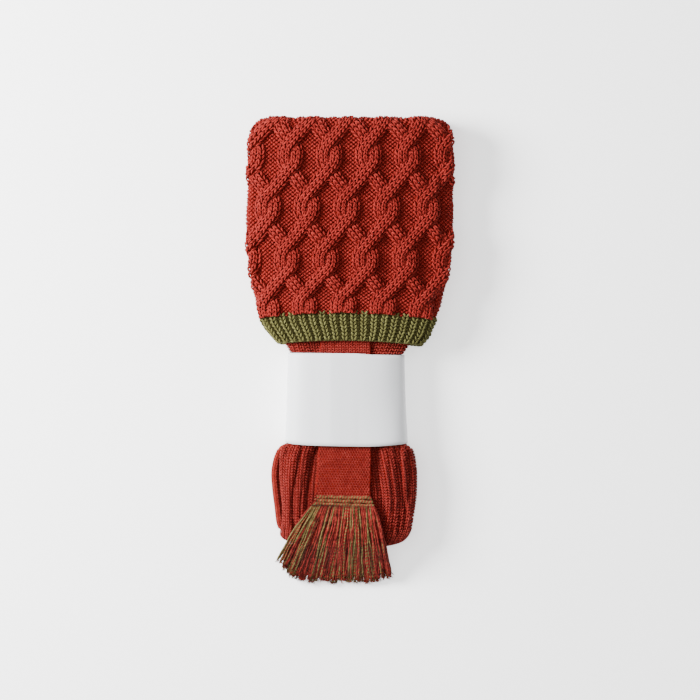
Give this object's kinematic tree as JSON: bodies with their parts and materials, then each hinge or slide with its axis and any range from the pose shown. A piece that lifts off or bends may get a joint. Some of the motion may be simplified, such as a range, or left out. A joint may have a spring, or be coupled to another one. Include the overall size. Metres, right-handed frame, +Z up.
{
  "type": "pair of hunting socks in a paper band",
  "caption": "Thick knee-length socks with turned-over cable cuffs, ribbed hems and a fringed garter, folded flat together in a plain paper band.",
  "frame": {"origin": "on the surface that the folded pair lies on, under the middle of its length and width", "axes": "+X to the right across the cuffs as the wearer of the view sees them from above, +Y from the fringe to the cuffs' fold, +Z up from the surface"},
  "size_m": [0.1293, 0.2883, 0.0311],
  "materials": {
    "red_wool": "matte ribbed and cabled wool knit",
    "olive_wool": "matte ribbed wool knit",
    "fringe_wool": "matte twisted wool yarn in red and green",
    "paper": "smooth white paper"
  },
  "bodies": {
    "root": {"upper_cuff": "red_wool", "upper_cuff_band": "olive_wool", "upper_leg": "red_wool", "lower_cuff": "red_wool", "lower_cuff_band": "olive_wool", "lower_leg": "red_wool", "garter": "red_wool", "garter_fringe": "fringe_wool", "paper_band": "paper"}
  },
  "joints": []
}
